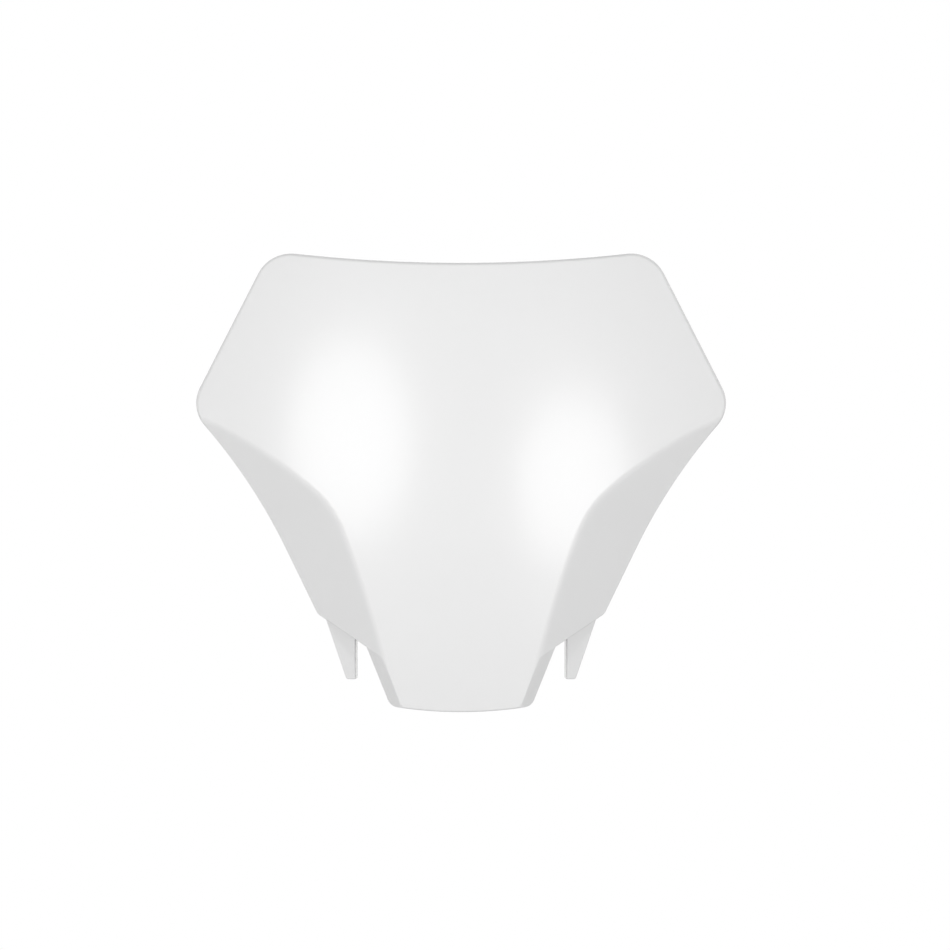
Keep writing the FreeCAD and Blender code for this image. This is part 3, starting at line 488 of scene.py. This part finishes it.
def boardSurface():
    # Right half of the board's skin and return edge as one grid. A column belongs to a place on the outline,
    # and its rows run from the middle line over the skin to the outline, round the front edge, back along the
    # return edge, forward again inside it and over the inner skin to the middle line.
    b, d = board, division
    place, outward, edge, starts, bevelled = boardColumns()
    notch, waist, wall = starts["notch"], edge[starts["waist"]], b["wall"]
    # radius of the rounded front edge along the outline
    before, after = b["notchFade"]
    marks = [0, edge[starts["topCorner"]], edge[starts["sideCorner"]], waist, waist + b["waistFade"],
             edge[notch] - before, edge[notch], edge[notch] + after, edge[-1]]
    edgeRound = np.interp(edge, marks, [b[name] for name in (
        "topEdge", "topEdge", "sideEdge", "waistEdge", "lowerEdge", "lowerEdge", "notchEdge", "lowerEdge",
        "lowerEdge")])

    def at(back, inset=0):
        # places drawn in from the outline, and the skin's depth there
        spot = place - outward * np.reshape(back, (-1, 1))
        return spot, skinDepth(spot[:, 0], spot[:, 1], inset, bevelled)

    def ways(inset, ring, rail, lift, counts):
        # rows of places from the middle of the board to a ring near its edge, on the skin at that inset
        crease, end, atEdge, onLine, creaseStart, topLineEnd, tailMeet = skinLines(
            inset, rail, lift, place, edge, starts, bevelled)
        tailward = bevelled & ~onLine
        end = np.where(atEdge[:, None], ring, end)
        fromNotch = edge - edge[notch]
        nearNotch = (onLine & (fromNotch < d["notchEase"]))[:, None]
        drawn = np.clip(1 - fromNotch / d["notchEase"], 0, 1)[:, None]
        end = np.where(nearNotch, end + (ring[notch] - end[notch + 1]) * drawn, end)
        # the knee lies on the crease and at least a little in from the sheet's end; above the crease, and on
        # the tail, a set distance in
        toward = crease - end - outward * d["kneeLean"]
        direction = toward / np.linalg.norm(toward, axis=1)[:, None]
        above = edge < creaseStart
        direction = np.where(above[:, None], -outward, direction)
        flat = np.interp(edge, [edge[starts["after topCorner"]], creaseStart], [d["topKneeIn"], d["kneeIn"]])
        reach = np.where(above, flat, np.maximum(np.linalg.norm(crease - end, axis=1), d["kneeIn"]))
        reach = np.where(tailward, d["kneeIn"], reach)
        direction = np.where(tailward[:, None], [-1.0, 0.0], direction)
        late = np.clip((edge - tailMeet) / d["tailEase"], 0, 1)[:, None]
        direction = np.where((edge > tailMeet)[:, None], (1 - late) * direction - late * outward, direction)
        knee = end + direction * reach[:, None]
        spine = np.interp(edge, [0, edge[starts["topCorner"]], edge[starts["sideCorner"]], creaseStart,
                                 edge[starts["footCorner"]], edge[notch], topLineEnd, tailMeet, edge[-1]],
                          d["spineLevels"])
        middle = np.stack([np.zeros(len(edge)), spine], axis=1)
        faceShares, flankShares = eased(counts[0], d["crowding"]), waved(counts[1])[1:]
        rows = [middle + (knee - middle) * share for share in faceShares]
        rows += [knee + (end - knee) * share for share in flankShares]
        flags = [tailward] * len(rows) + [bevelled] * counts[2]
        rows += [end + (ring - end) * share for share in waved(counts[2])]
        rows = np.array(rows)
        return rows, skinDepth(rows[..., 0], rows[..., 1], inset, np.array(flags))

    # front edge: an arc between the skin, whose slope is taken across the outline, and the straight wall
    depth, backDepth = at(np.zeros(len(edge)))[1], at(np.full(len(edge), d["slopeStep"]))[1]
    slope = (depth - backDepth) / d["slopeStep"]
    arcDepth = depth - slope * edgeRound + edgeRound * np.sqrt(1 + slope ** 2)
    tilt = np.arctan2(1, slope)
    ring = place - outward * (edgeRound * (1 - np.cos(tilt)))[:, None]
    layers = [ways(0, ring, place, d["outerLift"] * b["lowerEdge"], d["outerRows"])]
    faceRows = len(layers[0][0])
    for share in arcShares:
        angle = tilt * (1 - share)
        layers.append(((place - outward * (edgeRound * (1 - np.cos(angle)))[:, None])[None],
                       (arcDepth - edgeRound * np.sin(angle))[None]))
    # return edge: straight back, rounded on both rear edges, then forward again inside the wall
    rimRound, innerRound = b["rimRound"], b["innerRound"]
    cut = cornerCut * rimRound
    for back, lift in ((0, rimRound), (cut, cut), (rimRound, 0),
                       (wall - rimRound, 0), (wall - cut, cut), (wall, rimRound)):
        spot, depth = at(np.full(len(edge), back), b["rim"])
        layers.append((spot[None], (depth - lift)[None]))
    for back, lift in ((0, innerRound), (cornerCut * innerRound, cornerCut * innerRound)):
        spot, depth = at(np.full(len(edge), wall + back), wall)
        layers.append((spot[None], (depth + lift)[None]))
    ring = place - outward * (wall + innerRound)
    rows, depths = ways(wall, ring, ring, d["innerLift"], d["innerRows"])
    layers.append((rows[::-1], depths[::-1]))
    rows = np.concatenate([layer[0] for layer in layers])
    depths = np.concatenate([layer[1] for layer in layers])
    # painted shade along the board's rounded front edge, row by row
    share = paintedShadeShares(faceRows, len(rows))
    points = np.stack([rows[..., 0], depths, rows[..., 1]], axis=-1)
    return points, np.repeat(share[:, None], len(edge), axis=1)


def gridFaces(rows, columns, closed=False):
    # quads of a grid of points, four corner numbers each
    number = np.arange(rows * columns).reshape(rows, columns)
    if closed:
        number = np.concatenate([number, number[:, :1]], axis=1)
    corners = [number[:-1, :-1], number[:-1, 1:], number[1:, 1:], number[1:, :-1]]
    return np.stack(corners, axis=-1).reshape(-1, 4)


def mirroredPair(points, faces, rim):
    # the same surface on the left, turned the right way round
    flipped = points * np.array([-1, 1, 1])
    return np.vstack([points, flipped]), np.vstack([faces, faces[:, ::-1] + len(points)]), np.tile(rim, 2)


def closedSection(section):
    # Closed surface from a stack of closed loops (rows, columns, 3); both ends are drawn in to a point.
    ends = section.mean(axis=1, keepdims=True)
    first = np.repeat(ends[:1], section.shape[1], axis=1)
    last = np.repeat(ends[-1:], section.shape[1], axis=1)
    stack = np.vstack([first, section, last])
    return stack.reshape(-1, 3), gridFaces(*stack.shape[:2], closed=True), np.zeros(stack.size // 3)


def ribLoop(near, far):
    # Section of a rib: offsets across its thickness and depths, from the wall to the rounded rear edge
    half, edge = board["ribThick"] / 2, board["ribEdge"]
    turns = np.radians(np.linspace(0, 90, 5))
    rounded = half - edge * (1 - np.cos(turns))
    across = np.concatenate([[-half, -half], -rounded, [0], rounded[::-1], [half, half], [0]])
    back = np.concatenate([[0, 0.5], np.full(11, 1.0), [0.5, 0], [0]])
    fall = edge * (1 - np.sin(turns))
    lift = np.concatenate([[0, 0], fall, [0], fall[::-1], [0, 0], [0]])
    return across, near[:, None] * (1 - back) + far[:, None] * back - lift


def uprightRib():
    # Rib up the back of the board that widens into the gusset below the screw tab
    b = board
    level = np.unique(np.concatenate([np.linspace(*run) for run in b["ribLevels"]]))
    spot = b["ribSpacing"] / 2
    near = skinDepth(spot, level, b["wall"] / 2, level < bevelPoint()[1])
    low = b["tabLevel"] - b["tabThick"]
    gusset = b["tabReach"] * (level - low + b["gussetDrop"]) / b["gussetDrop"]
    far = np.maximum(skinDepth(spot, level, b["rim"]), np.minimum(gusset, b["tabReach"]))
    across, depth = ribLoop(near, far)
    return closedSection(np.stack([spot + across + 0 * depth, depth, level[:, None] + 0 * depth], axis=-1))


def crossRib():
    # Level rib from foot edge to foot edge, as deep as the return edge
    b = board
    level = -b["crossRib"]
    reach = b["footOut"] - (b["crossRib"] - b["footDrop"]) / np.tan(np.radians(b["footEdge"]))
    reach -= b["crossRibShort"]
    spots = np.linspace(-reach, reach, division["crossRows"])
    across, depth = ribLoop(skinDepth(spots, level, b["wall"] / 2), skinDepth(spots, level, b["rim"]))
    return closedSection(np.stack([spots[:, None] + 0 * depth, depth, level + across + 0 * depth], axis=-1))


def screwTab():
    # Level plate with a round end, as rings between the screw hole and the plate's edge
    b = board
    half, reach, hole, holeEdge = b["tabHalf"], b["tabReach"], b["screwHole"] / 2, b["holeEdge"]
    endCount, sideCount, frontCount = 49, 21, 15  # places along each stretch of the plate's edge
    turns = np.radians(np.linspace(0, 180, endCount))
    end = np.stack([half * np.cos(turns), reach + half * np.sin(turns)], axis=-1)
    sides = np.linspace(1, 0, sideCount + 1)[1:]
    start = faceDepth(half, b["tabLevel"], b["wall"] / 2)
    left = np.stack([np.full(sideCount, -half), start + (reach - start) * sides], axis=-1)
    front = np.linspace(-half, half, frontCount + 2)[1:-1]
    front = np.stack([front, faceDepth(front, b["tabLevel"], b["wall"] / 2)], axis=-1)
    loop = np.vstack([end, left, front, left[::-1] * [-1, 1]])
    way = loop - [0, reach]
    far = np.linalg.norm(way, axis=1)
    way = way / far[:, None]
    # the front part of the edge stays inside the board's wall and isn't drawn in
    edge, top, low = b["tabEdge"], b["tabLevel"], b["tabLevel"] - b["tabThick"]
    drawn = np.where(loop[:, 1] > start + edge, edge, 0)
    flat = [hole + holeEdge + (far - drawn - hole - holeEdge) * share for share in np.linspace(0, 1, 7)]
    quarter = [(far - drawn * (1 - np.sin(turn)), edge * (1 - np.cos(turn)))
               for turn in np.radians([22.5, 45, 67.5, 90])]
    cut = cornerCut * holeEdge
    rows = [(radius, top) for radius in flat]
    rows += [(radius, top - fall) for radius, fall in quarter]
    rows += [(radius, low + fall) for radius, fall in quarter[::-1]]
    rows += [(radius, low) for radius in flat[::-1]]
    rows += [(hole + back + 0 * far, level) for back, level in (
        (cut, low + cut), (0, low + holeEdge), (0, top - holeEdge), (cut, top - cut), (holeEdge, top))]
    stack = np.array([np.column_stack([radius[:, None] * way + [0, reach], np.full(len(far), level)])
                      for radius, level in rows])
    return stack.reshape(-1, 3), gridFaces(*stack.shape[:2], closed=True), np.zeros(stack.size // 3)


def planeDepth(facing, place, x, z):
    # depth of a plane given by its turn (y square out of it) and a place on it
    normal = facing[:, 1]
    return place[1] - (normal[0] * (x - place[0]) + normal[2] * (z - place[2])) / normal[1]


def lugPlanes(inset):
    # Front of the lug: a facet along the flank and one that falls back above the ridge. Rear: level with the
    # flank, and rising forward up the flank until it runs out.
    b = board
    start = np.array([b["flankOut"], faceDepth(b["flankOut"], -b["flankDrop"]), -b["flankDrop"]])
    facing = turned(b["flankSweep"] - 90, "y") @ turned(180 + b["flankSlope"], "x")
    facing = facing @ turned(-b["flankLowerTurn"], "z")
    facet = start - facing[:, 1] * (b["lugSetback"] + inset)
    top, foot = np.array(b["ridgeTop"]), np.array(b["ridgeFoot"])
    ridge = (foot - top) / np.linalg.norm(foot - top)
    rear = start - facing[:, 1] * (b["lugSetback"] + b["lugDepth"])
    fade = rear + facing @ np.array([-b["lugFadeDown"], 0, 0])
    fading = facing @ turned(b["lugFade"], "z")

    def back(x, z):
        behind = np.minimum(planeDepth(facing, rear, x, z), planeDepth(fading, fade, x, z))
        return np.maximum(behind, skinDepth(x, z, b["wall"] / 2))

    def front(x, z):
        lower = planeDepth(facing, facet, x, z)
        above = -(x - top[0]) * ridge[1] + (-z - top[1]) * ridge[0]
        return np.minimum(-softMax(-lower, -lower - b["ridgeFall"] * above, b["ridgeSoft"]), back(x, z))
    return front, back


def lugLoop(inset, tipRound):
    # Front view of the lug, drawn in by inset: places, directions out of it, and the line down its middle
    b = board
    outside = np.array([b["footOut"] - b["lugInset"],
                        -b["footDrop"] - b["lugInset"] * np.tan(np.radians(b["footEdge"]))])
    lean = np.degrees(np.arctan2(b["lugWidth"] - b["lugTipWidth"], b["lugReach"]))
    slant = np.tan(np.radians(lean))
    inner = outside[0] - b["lugWidth"] + inset
    root, tip = outside[1] + b["lugRoot"] - inset, outside[1] - b["lugReach"] + inset
    outer = np.array([inner - inset + b["lugTipWidth"], tip - inset]) + (
        inset * np.array([-(1 + np.sin(np.radians(lean))) / np.cos(np.radians(lean)), 1]))
    outerRoot = outer[0] + (root - tip) * slant
    # the loop runs down the inner side, round the tip, up the outer side and across the root
    innerTurns, outerTurns = np.linspace(180, 270, 9), np.linspace(270, 360 - lean, 11)
    line = np.linspace(0, 1, 72)[1:-1, None]
    short = np.linspace(0, 1, 7)[1:-1, None]
    wide = np.linspace(0, 1, 26)[1:-1, None]
    arcOne = np.array([inner + tipRound, tip + tipRound]) + tipRound * unit(innerTurns).T
    arcTwo = cornerCentre(outer, 90 - lean, 180, tipRound) + tipRound * unit(outerTurns).T
    corners = np.array([[inner, root], [outerRoot, root]])
    places = np.vstack([corners[:1], corners[0] + (arcOne[0] - corners[0]) * line, arcOne,
                        arcOne[-1] + (arcTwo[0] - arcOne[-1]) * short, arcTwo,
                        arcTwo[-1] + (corners[1] - arcTwo[-1]) * line, corners[1:],
                        corners[1] + (corners[0] - corners[1]) * wide])
    diagonal = 0.7071
    ways = np.vstack([[[-diagonal, diagonal]], np.repeat([[-1.0, 0.0]], len(line), axis=0), unit(innerTurns).T,
                      np.repeat([[0.0, -1.0]], len(short), axis=0), unit(outerTurns).T,
                      np.repeat([unit(-lean)], len(line), axis=0), [[diagonal, diagonal]],
                      np.repeat([[0.0, 1.0]], len(wide), axis=0)])
    # both long sides share the levels of the middle line
    level = places[:, 1].copy()
    sideTwo = slice(-len(wide) - 1 - len(line), -len(wide) - 1)
    level[sideTwo] = places[1:len(line) + 1, 1][::-1]
    overTip, underRoot = division["lugSpine"]
    middleLevel = np.clip(level, tip + overTip + tipRound / 2, root - underRoot + inset)
    width = outer[0] - inner + (middleLevel - tip) * slant
    return places, ways, np.stack([inner + width / 2, middleLevel], axis=-1)


def lugSurface():
    # Rings round the lug, from the middle of its front over the rounded front edge, back along its sides, round
    # its rim and forward inside it to the middle of its hollow's floor
    b = board
    outerFront, rear = lugPlanes(0)
    innerFront = lugPlanes(b["lugWall"])[0]
    places, ways, middle = lugLoop(0, b["lugTipRound"])
    holes, holeWays, holeMiddle = lugLoop(b["lugWall"], b["lugRim"])
    edge, rim, cut = b["lugEdge"], b["lugRim"], b["lugRimCut"]
    frontRows, floorRows = division["lugRows"]
    layers = []

    def ring(spot, depth):
        layers.append(np.stack([spot[:, 0], depth, spot[:, 1]], axis=-1))
    # the inner side leans, so that a little of it shows from the front
    lean = b["lugDraft"] * np.maximum(-ways[:, 0], 0) ** 2
    brink = places - ways * lean[:, None]
    start = brink - ways * edge
    for share in np.linspace(0, 1, frontRows):
        spot = middle + (start - middle) * share
        ring(spot, outerFront(spot[:, 0], spot[:, 1]))
    # rounded front edge, its arc tilted with the facet
    base, close = outerFront(brink[:, 0], brink[:, 1]), outerFront(start[:, 0], start[:, 1])
    slope = (base - close) / edge
    middleDepth = base - slope * edge + edge * np.sqrt(1 + slope ** 2)
    tilt = np.arctan2(1, slope)
    for share in arcShares:
        angle = tilt * (1 - share)
        ring(brink - ways * (edge * (1 - np.cos(angle)))[:, None], middleDepth - edge * np.sin(angle))
    end, inEnd = rear(places[:, 0], places[:, 1]), rear(holes[:, 0], holes[:, 1])
    for back, lift in ((0, rim), (cut, cut), (rim, 0)):
        ring(places - ways * back, end - lift)
    for back, lift in ((rim, 0), (cut, cut), (0, rim)):
        ring(holes + holeWays * back, inEnd - lift)
    for share in np.linspace(0, 1, floorRows):
        spot = holes + (holeMiddle - holes) * share
        ring(spot, innerFront(spot[:, 0], spot[:, 1]))
    stack = np.array(layers)
    # where the lug has run out up the flank, all of it stays inside the board's wall
    stack[..., 1] = np.minimum(stack[..., 1], rear(stack[..., 0], stack[..., 2]))
    # painted shade along the lug's rounded front edge, row by row
    share = paintedShadeShares(frontRows, len(stack))
    return stack.reshape(-1, 3), gridFaces(*stack.shape[:2], closed=True), np.repeat(share, stack.shape[1])


def orderedOut(points, faces):
    # Turn a closed surface so that its faces look outwards: the signed volumes of the wedges between its
    # triangles and the origin add up to more than nothing then.
    corners = points[faces]
    volume = 0
    for one, two in ((1, 2), (2, 3)):
        volume += np.einsum("ij,ij->i", corners[:, 0], np.cross(corners[:, one], corners[:, two])).sum()
    return faces if volume > 0 else faces[:, ::-1]


def boardPieces():
    # the closed surfaces that make up the moulding: skin, lugs, upright ribs, cross rib and screw tab
    right, rim = boardSurface()
    skin = mirroredPair(right.reshape(-1, 3), gridFaces(*right.shape[:2]), rim.reshape(-1))
    return [skin, mirroredPair(*lugSurface()), mirroredPair(*uprightRib()), crossRib(), screwTab()]


def meshOf(name, pieces):
    # One mesh from closed pieces: faces turned outwards, doubles merged, folded quads dropped or made triangles
    mergeWithin = 0.001
    places, edgeShadeLists, quads, triangles, count = [], [], [], [], 0
    for points, faces, rim in pieces:
        faces = orderedOut(points, faces)
        keys = np.round(points / mergeWithin).astype(np.int64)
        first, index = np.unique(keys, axis=0, return_index=True, return_inverse=True)[1:]
        faces = index.reshape(-1)[faces]
        same = faces == np.roll(faces, -1, axis=1)
        whole, folded = same.sum(axis=1) == 0, same.sum(axis=1) == 1
        quads.append(faces[whole] + count)
        triangles.append(faces[folded][~same[folded]].reshape(-1, 3) + count)
        places.append(points[first])
        edgeShadeLists.append(rim[first])
        count += len(first)
    mesh = bpy.data.meshes.new(name)
    place = (np.vstack(places) - np.array(board["seat"])) * millimetre * board["fit"]
    mesh.from_pydata(place.tolist(), [], np.vstack(quads).tolist() + np.vstack(triangles).tolist())
    # the painted edge shade share goes into a UV map, from which the plastic's colour is darkened at the edges
    corners = np.empty(len(mesh.loops), dtype=np.int32)
    mesh.loops.foreach_get("vertex_index", corners)
    shares = np.concatenate(edgeShadeLists)[corners]
    uv = np.stack([shares, 0 * shares], axis=-1).reshape(-1)
    mesh.uv_layers.new(name="rimShare").data.foreach_set("uv", uv)
    mesh.shade_smooth()
    mesh.set_sharp_from_angle(angle=np.radians(board["sharpAngle"]))
    return mesh


def makeBoard():
    thing = bpy.data.objects.new("boardMoulding", meshOf("boardMoulding", boardPieces()))
    bpy.context.scene.collection.objects.link(thing)
    thing.data.materials.append(makePlastic())
    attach(thing, "root")
    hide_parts("number_board")


floor = {"level": -0.5, "size": 4, "colour": "#E6E6E6", "roughness": 0.9}


def makeFloor():
    # one plain pale square below the board, in metres; matt, so that it mirrors nothing
    size, level = floor["size"] / 2, floor["level"]
    corners = [(-size, -size, level), (size, -size, level), (size, size, level), (-size, size, level)]
    mesh = bpy.data.meshes.new("floor")
    mesh.from_pydata(corners, [], [(0, 1, 2, 3)])
    material = bpy.data.materials.new("paleFloor")
    material.use_nodes = True
    material.node_tree.nodes.clear()
    shader = addNode(material.node_tree, "ShaderNodeBsdfPrincipled",
                     values={"Base Color": linearColour(floor["colour"]), "Roughness": floor["roughness"]})
    addNode(material.node_tree, "ShaderNodeOutputMaterial", links={"Surface": shader.outputs["BSDF"]})
    thing = bpy.data.objects.new("floor", mesh)
    bpy.context.scene.collection.objects.link(thing)
    mesh.materials.append(material)


makeBoard()
print("board made")
makeFloor()
makeWorld()
makeLamps()
makeCamera()
bpy.context.scene.view_settings.view_transform = "Standard"
print("stage made")
